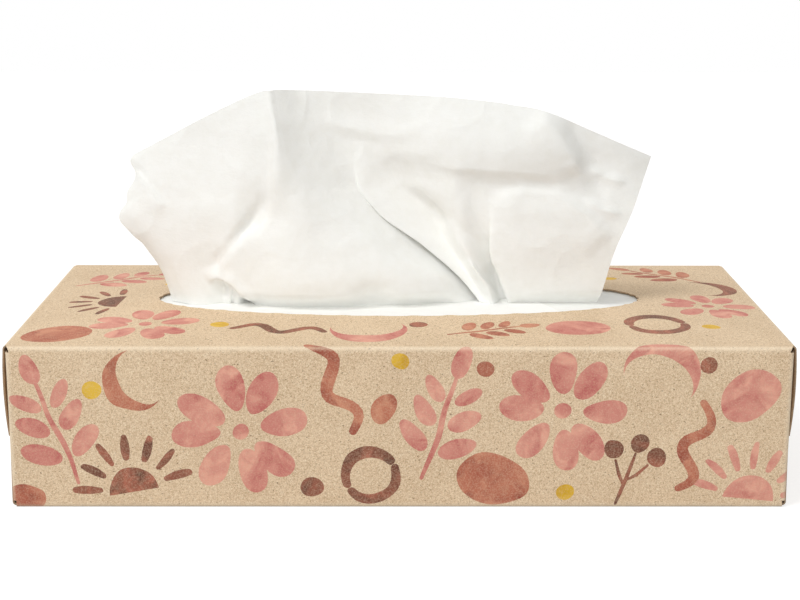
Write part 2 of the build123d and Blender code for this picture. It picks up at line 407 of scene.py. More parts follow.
@dataclass(frozen=True)
class TissuePaper:
    """Soft white tissue: matt, lightly creped, and it lets some light through."""

    name: str = "tissue_paper"
    colour: Colour = linear(245, 246, 243)
    shade: Colour = linear(238, 238, 232)

    def material(self) -> bpy.types.Material:
        """Builds the tissue.

        Returns:
            The material.
        """
        material, nodes, shader = principled(self.name, 0.95)
        place = nodes.add("ShaderNodeTexCoord").outputs["Object"]
        clouds = nodes.noise(place, 260.0, 5.0, 0.65)
        colour = nodes.mix(nodes.ramp(clouds, 0.35, 0.7, 0.0, 0.35), self.colour, self.shade)
        nodes.feed(shader.inputs["Base Color"], colour)
        crepe = nodes.noise(nodes.scaled(place, (0.5, 1.0, 1.6)), 620.0, 4.0, 0.62, 0.8)
        rumple = nodes.noise(place, 170.0, 4.0, 0.55, 0.5)
        relief = nodes.maths("ADD", nodes.maths("MULTIPLY", crepe, 0.4), rumple)
        add_bump(nodes, shader, relief, 0.0004, 0.5)
        glow = {"Weight": 0.12, "Radius": (1.0, 0.95, 0.85), "Scale": 0.002}
        for name, value in glow.items():
            shader.inputs[f"Subsurface {name}"].default_value = value
        shader.inputs["Sheen Weight"].default_value = 0.15
        shader.inputs["Sheen Roughness"].default_value = 0.6
        return material


def principled(name: str, rough: float) -> tuple[bpy.types.Material, Nodes, bpy.types.Node]:
    """Starts a material.

    Args:
        name: The material's name.
        rough: Its roughness.

    Returns:
        The material, the writer of its nodes and its shader.
    """
    material = bpy.data.materials.new(name)
    material.use_nodes = True
    nodes = Nodes(material.node_tree)
    shader = material.node_tree.nodes["Principled BSDF"]
    shader.inputs["Roughness"].default_value = rough
    shader.inputs["Specular IOR Level"].default_value = 0.25
    return material, nodes, shader


def add_bump(nodes: Nodes, shader: bpy.types.Node, height: Socket, distance: float,
             strength: float) -> None:
    """Adds relief to a material, with its depth in metres and how strongly it shows."""
    bump = nodes.add("ShaderNodeBump", Height=height, Distance=distance, Strength=strength)
    nodes.feed(shader.inputs["Normal"], bump.outputs["Normal"])


# the light, middle and deep colour of each ink
TONES = {
    Ink.PINK: ((232, 168, 148), (212, 138, 126), (192, 102, 98)),
    Ink.TERRACOTTA: ((206, 138, 110), (182, 102, 80), (152, 72, 58)),
    Ink.BROWN: ((176, 102, 82), (126, 74, 58), (94, 54, 44)),
    Ink.YELLOW: ((232, 190, 64), (222, 178, 40), (206, 158, 30)),
}
INKS = {ink: PrintedCard(ink.value, *(linear(*tone) for tone in tones)) for ink, tones in TONES.items()}


# The printed shapes, drawn round their own middle with a size of about one millimetre to the unit


def wobble(loop: Loop, amount: float, seed: float) -> Loop:
    """Moves the points of an outline a little, as a brush does.

    Args:
        loop: The outline.
        amount: How far, in millimetres.
        seed: Which wobble.

    Returns:
        The new outline.
    """
    moved = []
    for x, y in loop:
        shift = noise.noise_vector(Vector((x * 0.16, y * 0.16, seed * 7.3)))
        moved.append((x + shift.x * amount, y + shift.y * amount))
    return moved


def blob(radius_x: float, radius_y: float, count: int = 40, power: float = 1.0) -> Loop:
    """Draws an oval, slightly egg-shaped where power isn't 1.

    Args:
        radius_x: Half its width.
        radius_y: Half its height.
        count: How many points it has.
        power: How far its lower end is wider than its upper one.

    Returns:
        The outline.
    """
    loop = []
    for i in range(count):
        angle = math.tau * i / count
        pinch = 1 - 0.18 * (power - 1) * math.sin(angle)
        loop.append((radius_x * math.cos(angle) * pinch, radius_y * math.sin(angle)))
    return loop


def arc_of(radius_x: float, radius_y: float, degrees: range) -> Loop:
    """Draws the points of an oval at the angles given."""
    turns = [math.radians(angle) for angle in degrees]
    return [(radius_x * math.cos(turn), radius_y * math.sin(turn)) for turn in turns]


def turned(loop: Loop, degrees: float, shift: Point = (0.0, 0.0), scale: float = 1.0) -> Loop:
    """Scales, turns and moves an outline, in that order."""
    c, s = math.cos(math.radians(degrees)), math.sin(math.radians(degrees))
    return [(scale * (c * x - s * y) + shift[0], scale * (s * x + c * y) + shift[1]) for x, y in loop]


def stroke(line: Loop, width: float, taper: float = 0.35) -> Loop:
    """Gives a line the width of a round brush.

    Args:
        line: The points of the line.
        width: Its width in the middle.
        taper: How much narrower its ends are, from 0 to 1.

    Returns:
        The outline.
    """
    left, right = [], []
    last = len(line) - 1
    for i, (x, y) in enumerate(line):
        before, after = line[max(i - 1, 0)], line[min(i + 1, last)]
        run = Vector((after[0] - before[0], after[1] - before[1])).normalized()
        t = i / last
        half = width / 2 * (1 - taper * abs(2 * t - 1) ** 2.5)
        left.append((x - run.y * half, y + run.x * half))
        right.append((x + run.y * half, y - run.x * half))
    caps = []
    for end, side, sign in ((line[-1], left[-1], 1), (line[0], right[0], 1)):
        middle = Vector(end)
        arm = Vector(side) - middle
        caps.append([tuple(middle + Matrix.Rotation(-sign * math.pi * k / 6, 2) @ arm) for k in range(1, 6)])
    return left + caps[0] + right[::-1] + caps[1]


def area_of(loop: Loop) -> float:
    """The area inside an outline, which is negative where it runs clockwise."""
    return sum(a[0] * b[1] - b[0] * a[1] for a, b in zip(loop, loop[1:] + loop[:1])) / 2


def daisy(petals: int = 8) -> list[Loop]:
    """Draws a daisy of separate rounded petals round a small middle.

    Args:
        petals: How many petals it has.

    Returns:
        Its outlines.
    """
    loops = []
    for i in range(petals):
        petal = [(x, y + 7.6) for x, y in blob(2.35, 4.1, 26, 0.2)]
        loops.append(turned(petal, 360 * i / petals + 7 * math.sin(i * 2.1)))
    loops.append(blob(1.5, 1.5, 16))
    return loops


def sprig() -> list[Loop]:
    """Draws a stem with paired leaves and one leaf at its tip.

    Returns:
        Its outlines.
    """
    loops = [stroke([(0.25 * math.sin(i * 0.5), -11 + i * 1.6) for i in range(13)], 1.0)]
    for level, (height, size) in enumerate(((-6.0, 1.0), (-1.2, 0.92), (3.4, 0.8))):
        for side in (-1, 1):
            leaf = [(x, y + 3.9) for x, y in blob(1.75, 3.5, 26, 1.5)]
            loops.append(turned(leaf, -side * (56 - 5 * level), (side * 0.9, height), size))
    loops.append([(x, y + 11.2) for x, y in blob(1.6, 2.9, 24, 1.5)])
    return loops


def half_sun() -> list[Loop]:
    """Draws a half disc with short rays.

    Returns:
        Its outlines.
    """
    disc = [(5.2 * math.cos(math.pi * i / 24), 5.2 * math.sin(math.pi * i / 24)) for i in range(25)]
    loops = [disc]
    for i in range(7):
        angle = 90 + (i - 3) * 26
        loops.append(turned(stroke([(0, 7.2), (0, 8.6), (0, 10.2), (0, 11.6)], 1.7, 0.3), angle - 90))
    return loops


def squiggle() -> list[Loop]:
    """One thick wavy stroke."""
    return [stroke([(2.4 * math.sin(i * 0.42), -11 + i * 0.92) for i in range(25)], 2.7)]


def pebble() -> list[Loop]:
    """A flat round stone."""
    return [blob(6.4, 4.6, 40, 1.3)]


def crescent() -> list[Loop]:
    """Draws a crescent on its back.

    Returns:
        Its outlines.
    """
    outer = arc_of(7.0, 7.0, range(-200, 21, 8))
    inner = [(x, y + 1.6) for x, y in arc_of(6.6, 4.9, range(12, -193, -8))]
    return [outer + inner]


def ring() -> list[Loop]:
    """Draws an open ring, as two half rings with a small gap at each side.

    Returns:
        Its outlines.
    """
    loops = []
    for start in (8, 188):
        loops.append(stroke(arc_of(5.0, 5.0, range(start, start + 165, 7)), 2.2, 0.25))
    return loops


def dot() -> list[Loop]:
    """A small spot."""
    return [blob(2.3, 2.1, 22)]


def berries() -> list[Loop]:
    """Draws three berries on short forked stems.

    Returns:
        Its outlines.
    """
    loops = [stroke([(0, -9), (0.3, -6), (0.1, -3), (0, 0.5), (0, 3.5)], 0.9)]
    loops.append(stroke([(0.1, -4), (-1.8, -2.2), (-3.6, 0.6)], 0.8))
    loops.append(stroke([(0.1, -3), (1.9, -1.2), (3.6, 1.8)], 0.8))
    for x, y in ((0, 6.0), (-4.9, 2.9), (4.8, 4.2)):
        loops.append([(x + dx, y + dy) for dx, dy in blob(2.1, 2.2, 20)])
    return loops


SHAPES = {
    Motif.DAISY: daisy,
    Motif.SPRIG: sprig,
    Motif.HALF_SUN: half_sun,
    Motif.SQUIGGLE: squiggle,
    Motif.PEBBLE: pebble,
    Motif.CRESCENT: crescent,
    Motif.RING: ring,
    Motif.DOT: dot,
    Motif.BERRIES: berries,
}


@dataclass(frozen=True)
class Stamp:
    """One printed shape and its place on a face of the carton."""

    motif: Motif
    ink: Ink
    face: Face
    x: float
    y: float
    size: float = 1.0
    turn: float = 0.0


# The carton

# which way each panel of the wrap faces, in y and z; a panel runs the way that the next one faces
FACINGS = ((0, -1), (-1, 0), (0, 1), (1, 0), (0, -1), (-1, 0))
# the numbers of the carton's finishes, with those of the inks after the bare one
BARE = 0
INSIDE = len(Ink) + 1
CUT_EDGE = len(Ink) + 2


@dataclass
class Carton:
    """The die-cut card blank, folded and glued: its sizes, its fold and its print."""

    length: float = 240.0
    depth: float = 118.0
    height: float = 51.5
    card: float = 0.5
    inside_radius: float = 0.7
    crown: float = 2.5
    slot_length: float = 162.0
    slot_width: float = 55.0
    glue_flap: float = 15.0
    seam_gap: float = 0.4
    dust_flap: float = 42.0
    dust_trim: float = 0.5
    dust_taper: float = 3.0
    bottom_flap_height: float = 30.0
    top_flap_height: float = 29.5
    side_trim: float = 0.8
    flap_taper: float = 2.0
    flap_bow: float = 0.7
    notch: float = 0.2
    glue_slant: float = 5.0
    beside_bend: float = 0.8
    flap_step: float = 3.6
    wear_and_highlight_reach: float = 1.5
    brush: float = 0.55
    margin: float = 5.0
    side_margin: float = 30.0
    grid: float = 6.5
    nibs: int = 44
    rows: dict[str, tuple[float, float]] = field(default_factory=dict)

    def __post_init__(self) -> None:
        """Works out where each panel and each bend lies along the blank."""
        self.radius = self.inside_radius + self.card
        self.arc = self.radius * math.pi / 2
        self.flat_y = self.depth / 2 - self.radius
        self.flat_z = self.height - self.radius
        lengths = (
            ("bottom", self.flat_y + self.depth / 2 - self.seam_gap),
            ("bend_low_front", self.arc),
            ("front", self.flat_z - self.radius),
            ("bend_front", self.arc),
            ("top", 2 * self.flat_y),
            ("bend_back", self.arc),
            ("back", self.flat_z - self.radius - self.card),
            ("bend_low_back", self.arc),
            ("glue", self.glue_flap),
        )
        start = 0.0
        for name, size in lengths:
            self.rows[name] = (start, start + size)
            start += size
        # where the outside of each panel starts, in y and z
        self.starts = (
            (self.depth / 2 - self.seam_gap, 0.0),
            (-self.depth / 2, self.radius),
            (-self.flat_y, self.height),
            (self.depth / 2, self.flat_z),
            (self.flat_y, self.card),
        )
        self.ends = {
            "bottom": self.length / 2 + self.card - self.radius,
            "front": self.length / 2 - self.radius,
            "top": self.length / 2 + 2 * self.card - self.radius,
            "back": self.length / 2 - self.radius,
        }

    def crown_at(self, x: float, y: float) -> float:
        """Finds how far the top panel stands up at a point.

        Args:
            x: The point's x.
            y: Its y.

        Returns:
            The rise, in millimetres.
        """
        along = min(max((x / self.ends["top"] + 1) / 2, 0.0), 1.0)
        across = min(max((y / self.flat_y + 1) / 2, 0.0), 1.0)
        return self.crown * 8 / 7 * (1 - along**4 - (1 - along) ** 4) * 4 * across * (1 - across)

    def section(self, s: float) -> tuple[float, float, float, float]:
        """Finds a place on the outside of the wrap.

        Args:
            s: The way along the blank, from the free edge of the bottom panel.

        Returns:
            The place's y and z, and the y and z of the direction that points out of the card.
        """
        rows = list(self.rows.values())
        number = sum(s > end for _, end in rows[:-1])
        panel, bent = divmod(number, 2)
        past = s - rows[number][0]
        out, run = FACINGS[panel], FACINGS[panel + 1]
        if not bent:
            y, z = self.starts[panel]
            return y + run[0] * past, z + run[1] * past, *out
        turn = past / self.radius
        y, z = self.starts[panel + 1]
        out = [a * math.cos(turn) + b * math.sin(turn) for a, b in zip(out, run)]
        return y + self.radius * (out[0] - run[0]), z + self.radius * (out[1] - run[1]), *out

    def end_of(self, s: float) -> float:
        """Finds how far from the middle the bend into an end flap starts.

        Args:
            s: The way along the wrap.

        Returns:
            The distance along x, which has no end where there is no flap.
        """
        for name, place in self.ends.items():
            start, end = self.rows[name]
            if start - 0.01 <= s <= end + 0.01:
                return place
        return math.inf

    def placed(self, x: float, s: float, deep: float) -> Vector:
        """Folds one point of the blank.

        Args:
            x: The way along the box, from its middle.
            s: The way along the wrap, from the free edge of the bottom panel.
            deep: How far into the card, from its printed side.

        Returns:
            The point on the folded carton, in millimetres.
        """
        y, z, out_y, out_z = self.section(s)
        on_top = self.rows["top"][0] <= s <= self.rows["top"][1]
        side = math.copysign(1.0, x)
        end = self.end_of(s)
        past = abs(x) - end
        if past <= 0:
            rise = self.crown_at(x, y) if on_top else 0.0
            return Vector((x, y - out_y * deep, z - out_z * deep + rise))
        if past < self.arc:
            turn = past / self.radius
            reach = self.radius - deep
            inward = self.radius - reach * math.cos(turn)
            return Vector((side * (end + reach * math.sin(turn)), y - out_y * inward, z - out_z * inward))
        down = self.radius + past - self.arc
        part = (past - self.arc) / (self.top_flap_height - self.radius)
        bow = self.flap_bow * 4 * part * (1 - part) if on_top else 0.0
        return Vector((side * (end + self.radius - deep + bow), y - out_y * down, z - out_z * down))

    def outline(self) -> Loop:
        """Draws the edge of the whole blank.

        Returns:
            The loop, as x and the way along the wrap, up the right side and down the left one.
        """
        seam = self.depth / 2 - self.seam_gap - self.flat_y
        bottom = (self.bottom_flap_height - self.radius, self.flap_taper)
        dust = (self.dust_flap, self.dust_taper)
        top = (self.top_flap_height - self.radius, self.flap_taper)
        # each panel, its flap's trim, reach and taper, and the notch at its two corners
        flaps = (
            ("bottom", seam + self.side_trim, self.side_trim, bottom, 0.0, self.notch),
            ("front", self.card + self.dust_trim, self.dust_trim, dust, 0.0, 0.0),
            ("top", self.side_trim, self.side_trim, top, self.notch, self.notch),
            ("back", self.dust_trim, self.dust_trim, dust, 0.0, 0.0),
        )
        right: Loop = []
        for name, trim_low, trim_high, (reach, taper), notch_low, notch_high in flaps:
            start, end = self.rows[name]
            low, high = start + trim_low, end - trim_high
            edge = self.ends[name]
            bent, far = edge + self.arc, edge + self.arc + reach
            right += [(edge - notch_low, start), (edge, low), (bent, low), (far, low + taper)]
            right += [(far, high - taper), (bent, high), (edge, high), (edge - notch_high, end)]
        start, end = self.rows["glue"]
        right += [(self.ends["back"], start), (self.ends["back"] - self.glue_slant, end)]
        return right + [(-x, s) for x, s in reversed(right)]

    def slot_loop(self) -> Loop:
        """Draws the torn edge of the slot: an oval with the small nibs that its perforation leaves.

        Returns:
            The loop, as x and the way along the wrap.
        """
        middle = sum(self.rows["top"]) / 2
        chance = random.Random(NIB_SEED)
        loop = []
        steps = 6
        for i in range(self.nibs * steps):
            angle = math.tau * i / (self.nibs * steps)
            bite = 0.0
            if i % steps == 0:
                nib = chance.uniform(0.25, 0.75)
            if i % steps in (2, 3):
                bite = nib
            elif i % steps in (1, 4):
                bite = nib * chance.uniform(0.0, 0.25)
            across = self.slot_length / 2 - bite
            wide = self.slot_width / 2 - bite
            loop.append((across * math.cos(angle), middle + wide * math.sin(angle)))
        return loop

    def cut_lines(self) -> tuple[list[float], list[float]]:
        """Lists where the blank is divided so that it folds smoothly.

        Returns:
            The places along x and the places along the wrap.
        """
        middle = self.ends["front"]
        along = spread(-middle, middle, math.ceil(2 * middle / self.grid))
        for side in (-1, 1):
            for start in {round(value, 3) for value in self.ends.values()}:
                end = start + self.arc
                near = (start - self.beside_bend, end + self.beside_bend)
                along |= spread(side * start, side * end, 4) | {round(side * x, 3) for x in near}
            flap = self.ends["top"] + self.arc
            along |= {round(side * (flap + self.flap_step * k), 3) for k in range(1, 8)}
        across: set[float] = set()
        for name, (start, end) in self.rows.items():
            if name.startswith("bend"):
                across |= spread(start, end, 6)
                across |= {round(start - self.beside_bend, 3), round(end + self.beside_bend, 3)}
            else:
                across |= spread(start, end, max(2, math.ceil((end - start) / self.grid)))
        return sorted(along), sorted(across)

    def printed_at(self, stamp: Stamp) -> Point:
        """Finds the middle of a printed shape on the blank.

        Args:
            stamp: The printed shape.

        Returns:
            Its x and its way along the wrap.
        """
        top = sum(self.rows["top"]) / 2
        if stamp.face is Face.FRONT:
            return stamp.x, self.rows["front"][0] - self.radius + stamp.y
        if stamp.face is Face.BACK:
            return stamp.x, self.rows["back"][0] + self.height - stamp.y
        if stamp.face is Face.TOP:
            return stamp.x, top + stamp.y
        side = 1 if stamp.face is Face.RIGHT_END else -1
        if stamp.y > self.height - self.top_flap_height:
            return side * (self.ends["top"] + self.arc + self.flat_z - stamp.y), top + stamp.x
        bottom = self.depth / 2 - self.seam_gap - stamp.x
        return side * (self.ends["bottom"] + self.arc + stamp.y - self.radius), bottom

    def build(self) -> Piece:
        """Cuts, prints and folds the blank.

        Returns:
            The carton.
        """
        loops: list[Loop] = [self.outline(), self.slot_loop()]
        inks: list[Ink | None] = [None, None]
        for number, stamp in enumerate(layout()):
            middle = self.printed_at(stamp)
            for loop in SHAPES[stamp.motif]():
                drawn = turned(wobble(loop, self.brush, number), stamp.turn, middle, stamp.size)
                loops.append(drawn if area_of(drawn) > 0 else drawn[::-1])
                inks.append(stamp.ink)
        points: list[Vector] = []
        faces: list[list[int]] = []
        for loop in loops:
            faces.append(list(range(len(points), len(points) + len(loop))))
            points += [Vector(point) for point in loop]
        along, across = self.cut_lines()
        wide, low, high = along[-1] + self.side_margin, -self.margin, across[-1] + self.margin
        lines = [((x, low), (x, high)) for x in along] + [((-wide, s), (wide, s)) for s in across]
        edges: list[tuple[int, int]] = []
        for line in lines:
            edges.append((len(points), len(points) + 1))
            points += [Vector(point) for point in line]
        flat, _, cut, _, _, owners = delaunay_2d_cdt(points, edges, faces, 0, 1e-4, True)
        kept: list[tuple[list[int], int]] = []
        for corners, owner in zip(cut, owners):
            if 0 not in owner or 1 in owner:
                continue
            printed = [inks[i] for i in owner if i > 1]
            kept.append((corners, 1 + list(Ink).index(printed[-1]) if printed else BARE))
        return self.fold(flat, kept)

    def fold(self, flat: list[Vector], kept: list[tuple[list[int], int]]) -> Piece:
        """Folds the cut blank and gives it the thickness of the card.

        Args:
            flat: The points of the blank.
            kept: The corners of each face and the number of its finish.

        Returns:
            The carton.
        """
        used = sorted({corner for corners, _ in kept for corner in corners})
        number = {old: new for new, old in enumerate(used)}
        places = [(flat[old].x, flat[old].y) for old in used]
        outside = [self.placed(x, s, 0.0) for x, s in places]
        inside = [self.placed(x, s, self.card) for x, s in places]
        count = len(used)
        faces: list[tuple[int, ...]] = []
        finishes: list[int] = []
        sides: list[tuple[int, int]] = []
        for corners, finish in kept:
            loop = [number[corner] for corner in corners]
            faces += [tuple(loop), tuple(count + corner for corner in reversed(loop))]
            finishes += [finish, INSIDE]
            sides += zip(loop, loop[1:] + loop[:1])
        known = set(sides)
        for a, b in sides:
            if (b, a) not in known:
                faces.append((b, a, count + a, count + b))
                finishes.append(CUT_EDGE)
        piece = mesh_object("carton_card", outside + inside, faces)
        # how far each point is lightened along the bends, as scuffing and painted highlight
        crease = piece.data.attributes.new("crease", "FLOAT", "POINT")
        values = [self.wear_and_highlight_at(x, s) for x, s in places]
        crease.data.foreach_set("value", values + [0.0] * count)
        for polygon, finish in zip(piece.data.polygons, finishes):
            polygon.material_index = finish
        return piece

    def wear_and_highlight_at(self, x: float, s: float) -> float:
        """Finds how much the card is lightened at a place: most on the bends, where the fibres part. The
        lightening is scuffed fibres and a painted highlight where the bend catches light.

        Args:
            x: The way along the box.
            s: The way along the wrap.

        Returns:
            How much it is lightened, from 0 to 1.
        """
        bends = [sum(row) / 2 for name, row in self.rows.items() if name.startswith("bend")]
        past = abs(x) - self.end_of(s)
        nearest = min(abs(past - self.arc / 2), *(abs(s - middle) for middle in bends))
        return max(0.0, 1 - nearest / self.wear_and_highlight_reach)

    def dress(self, piece: Piece) -> None:
        """Gives the carton its finishes.

        Args:
            piece: The carton.
        """
        kraft = KraftCard()
        finishes = [kraft.material(), *(INKS[ink].material() for ink in Ink)]
        # the cut edges get painted shade, darkened towards the speck colour
        finishes += [kraft.material("kraft_inside"), kraft.material("kraft_cut_edge_painted_shade", 0.65)]
        put_in_place(piece, finishes, CARD_ANGLE, "carton")


def layout() -> list[Stamp]:
    """Places the printed shapes on the carton.

    Returns:
        The printed shapes.
    """
    m, i = Motif, Ink
    front = [
        (m.SPRIG, i.PINK, -106, 26, 1.75, 20),
        (m.HALF_SUN, i.BROWN, -82, 5, 1.55, 10),
        (m.DOT, i.YELLOW, -94, 38, 1.4),
        (m.CRESCENT, i.TERRACOTTA, -81, 41, 1.4, -60),
        (m.DAISY, i.PINK, -49, 25, 1.8, 10),
        (m.DOT, i.BROWN, -27, 7, 1.5),
        (m.SQUIGGLE, i.TERRACOTTA, -20, 39, 1.4, 22),
        (m.RING, i.BROWN, -9, 10.5, 1.55, 30),
        (m.SPRIG, i.PINK, 13, 28, 1.75, -18),
        (m.DOT, i.YELLOW, 0, 47, 1.2),
        (m.PEBBLE, i.TERRACOTTA, -5, 32, 0.8, 60),
        (m.PEBBLE, i.TERRACOTTA, 29, 9.5, 1.75, -12),
        (m.DOT, i.BROWN, 26, 45, 1.2),
        (m.DAISY, i.PINK, 50, 31, 1.65),
        (m.BERRIES, i.BROWN, 71, 13, 1.4, -20),
        (m.CRESCENT, i.PINK, 80, 43, 1.7, 160),
        (m.DOT, i.YELLOW, 51, 5, 1.2),
        (m.SQUIGGLE, i.TERRACOTTA, 90.5, 20, 1.3, -16),
        (m.HALF_SUN, i.PINK, 108, 3, 1.5, -6),
        (m.PEBBLE, i.PINK, 107, 36, 1.6, 35),
        (m.DOT, i.BROWN, 94, 46, 1.2),
        (m.PEBBLE, i.TERRACOTTA, -116, 3, 1.0),
    ]
    top = [
        (m.DAISY, i.PINK, -81, -34, 1.5, 12),
        (m.PEBBLE, i.TERRACOTTA, -107, -44, 1.8, 30),
        (m.DOT, i.YELLOW, -57, -36, 1.3),
        (m.SQUIGGLE, i.BROWN, -38, -41, 1.3, 78),
        (m.CRESCENT, i.PINK, -10, -42, 1.7, 10),
        (m.DOT, i.BROWN, 6, -37, 1.3),
        (m.SPRIG, i.TERRACOTTA, 28, -42, 1.25, -70),
        (m.PEBBLE, i.PINK, 56, -39, 1.6, 8),
        (m.RING, i.BROWN, 82, -34, 1.8, 15),
        (m.DAISY, i.PINK, 103, -9, 1.35, 4),
        (m.DOT, i.YELLOW, 99, -36, 1.2),
        (m.HALF_SUN, i.BROWN, -93, -4, 1.5, 84),
        (m.SPRIG, i.PINK, -98, 31, 1.6, -60),
        (m.CRESCENT, i.TERRACOTTA, -64, 39, 1.7, 15),
        (m.DOT, i.YELLOW, -79, 21, 1.2),
        (m.BERRIES, i.BROWN, -36, 43, 1.4, 40),
        (m.PEBBLE, i.PINK, -8, 43, 1.6, -15),
        (m.DAISY, i.PINK, 25, 45, 1.35),
        (m.SQUIGGLE, i.TERRACOTTA, 55, 41, 1.3, 70),
        (m.DOT, i.YELLOW, 75, 31, 1.2),
        (m.SPRIG, i.TERRACOTTA, 94, 39, 1.5, 50),
        (m.CRESCENT, i.BROWN, 107, 17, 1.5, 100),
    ]
    back = [
        (m.DAISY, i.PINK, -98, 25, 1.85),
        (m.SQUIGGLE, i.BROWN, -69, 30, 1.5, 12),
        (m.DOT, i.YELLOW, -78, 8, 1.3),
        (m.PEBBLE, i.PINK, -52, 10, 1.6, -18),
        (m.HALF_SUN, i.TERRACOTTA, -46, 28, 1.4),
        (m.SPRIG, i.PINK, -18, 24, 1.75, 18),
        (m.RING, i.BROWN, 9, 37, 1.6),
        (m.DOT, i.YELLOW, 1, 11, 1.3),
        (m.CRESCENT, i.TERRACOTTA, 24, 14, 1.5, -24),
        (m.DAISY, i.PINK, 48, 29, 1.75, 14),
        (m.BERRIES, i.BROWN, 77, 19, 1.5, -16),
        (m.PEBBLE, i.TERRACOTTA, 92, 42, 1.4, 22),
        (m.SPRIG, i.PINK, 105, 19, 1.45, -58),
        (m.DOT, i.BROWN, 70, 45, 1.2),
    ]
    ends = [
        # large brown pebble at the front edge of the left end flap, mirrored to the back of the right one:
        # painted shade where the flap stands off the box
        (m.PEBBLE, i.BROWN, -48, 35, 2.5, 80),
        (m.DAISY, i.PINK, -19, 36, 1.1),
        (m.SQUIGGLE, i.BROWN, 11, 37, 1.0, 60),
        (m.CRESCENT, i.PINK, 38, 36, 1.5, 30),
        (m.HALF_SUN, i.TERRACOTTA, -30, 4, 1.25),
        (m.DOT, i.YELLOW, -6, 11, 1.3),
        (m.PEBBLE, i.PINK, 18, 10, 1.4, -10),
        (m.DOT, i.BROWN, 42, 11, 1.4),
    ]
    groups = ((Face.FRONT, front), (Face.TOP, top), (Face.BACK, back))
    stamps = [Stamp(motif, ink, face, *rest) for face, group in groups for motif, ink, *rest in group]
    for face, flip in ((Face.LEFT_END, 1), (Face.RIGHT_END, -1)):
        stamps += [Stamp(motif, ink, face, flip * x, *rest) for motif, ink, x, *rest in ends]
    return stamps


# The tissues


def through(places: Sequence[float], values: Sequence[float], place: float) -> float:
    """A smooth curve through values at their places, with no rise or fall between them that they lack.

    Args:
        places: Where each value lies, in rising order.
        values: The values.
        place: Where the curve is read.

    Returns:
        The value there.
    """
    slopes = [(values[i + 1] - values[i]) / (places[i + 1] - places[i]) for i in range(len(places) - 1)]
    tangents = [slopes[0]]
    for before, after in zip(slopes, slopes[1:]):
        tangents.append(0.0 if before * after <= 0 else 2 * before * after / (before + after))
    tangents.append(slopes[-1])
    i = 0
    while i < len(slopes) - 1 and place > places[i + 1]:
        i += 1
    span = places[i + 1] - places[i]
    t = (place - places[i]) / span
    start = (1 + 2 * t) * (1 - t) ** 2 * values[i] + t * (1 - t) ** 2 * span * tangents[i]
    end = t * t * (3 - 2 * t) * values[i + 1] + t * t * (t - 1) * span * tangents[i + 1]
    return start + end


@dataclass(frozen=True)
class Press:
    """A ridge or a valley pressed into a sheet along a line, in x and height over the flat top.

    A positive push stands towards the viewer. The left side is the one on the left of someone who follows
    the line.
    """

    line: tuple[Point, ...]
    push: float
    left: float
    right: float
    fade: float = 0.25
    sharp: float = 0.5

    def at(self, x: float, height: float) -> float:
        """Finds how far the sheet is moved towards the viewer at a place.

        Args:
            x: The place's x.
            height: Its height over the flat top.

        Returns:
            The push there, in millimetres.
        """
        here = Vector((x, height))
        total = sum((Vector(b) - Vector(a)).length for a, b in zip(self.line, self.line[1:]))
        best, beside, along, run = 1e9, 0.0, 0.0, 0.0
        for a, b in zip(self.line, self.line[1:]):
            start, step = Vector(a), Vector(b) - Vector(a)
            length = step.length
            part = min(max((here - start).dot(step) / length**2, 0.0), 1.0)
            gap = here - (start + step * part)
            if gap.length < best:
                best = gap.length
                beside = step.x * gap.y - step.y * gap.x
                along = (run + length * part) / total
            run += length
        reach = self.left if beside > 0 else self.right
        near = 1 - best / reach
        if near <= 0:
            return 0.0
        round_top = near * near * (3 - 2 * near)
        shape = self.sharp * near * near + (1 - self.sharp) * round_top
        ends = min(along, 1 - along) / self.fade if self.fade else 1.0
        ends = min(max(ends, 0.0), 1.0)
        return self.push * shape * ends * ends * (3 - 2 * ends)


@dataclass(frozen=True)
class Swell:
    """A round bulge or dent in a sheet, in x and height over the flat top."""

    x: float
    height: float
    wide: float
    tall: float
    push: float
    turn: float = 0.0

    def at(self, x: float, height: float) -> float:
        """Finds how far the sheet is moved towards the viewer at a place.

        Args:
            x: The place's x.
            height: Its height over the flat top.

        Returns:
            The push there, in millimetres.
        """
        c, s = math.cos(math.radians(self.turn)), math.sin(math.radians(self.turn))
        dx, dh = x - self.x, height - self.height
        far = ((c * dx + s * dh) / self.wide) ** 2 + ((c * dh - s * dx) / self.tall) ** 2
        return self.push * math.exp(-2 * far)


